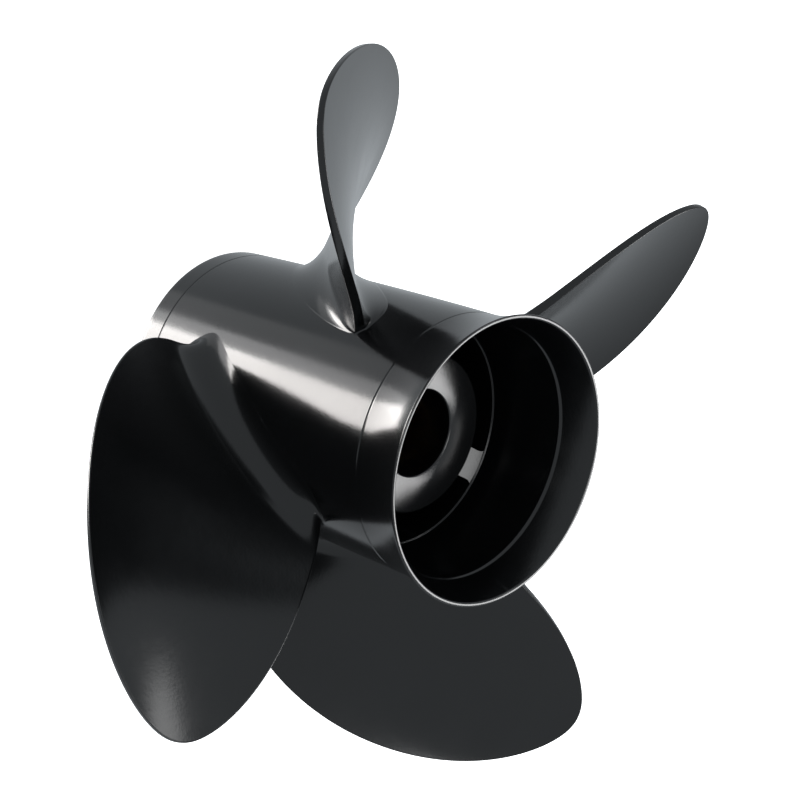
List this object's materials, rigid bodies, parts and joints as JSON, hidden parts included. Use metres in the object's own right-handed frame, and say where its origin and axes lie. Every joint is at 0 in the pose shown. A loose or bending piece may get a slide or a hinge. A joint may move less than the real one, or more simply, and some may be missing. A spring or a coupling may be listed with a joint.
{
  "type": "outboard motor propeller",
  "caption": "Through-hub exhaust boat propeller with raked helical blades on a hollow barrel, and a splined, rubber-mounted shaft bore.",
  "frame": {"origin": "centre of the barrel's front end face, on the shaft axis, which is also the centre of the bounding box's underside", "axes": "+Z along the shaft axis, pointing aft, and +Y towards the reference line of the first blade"},
  "size_m": [0.3172, 0.3172, 0.1615],
  "materials": {
    "painted_casting": "satin gloss black paint on cast aluminium",
    "rubber": "matt black moulded rubber",
    "brass": "machined brass"
  },
  "bodies": {
    "root": {"barrel": "painted_casting", "inner_hub": "painted_casting", "rib_1": "painted_casting", "rib_2": "painted_casting", "rib_3": "painted_casting", "blade_1": "painted_casting", "blade_2": "painted_casting", "blade_3": "painted_casting", "blade_4": "painted_casting", "rubber_bushing": "rubber", "splined_sleeve": "brass"}
  },
  "joints": []
}
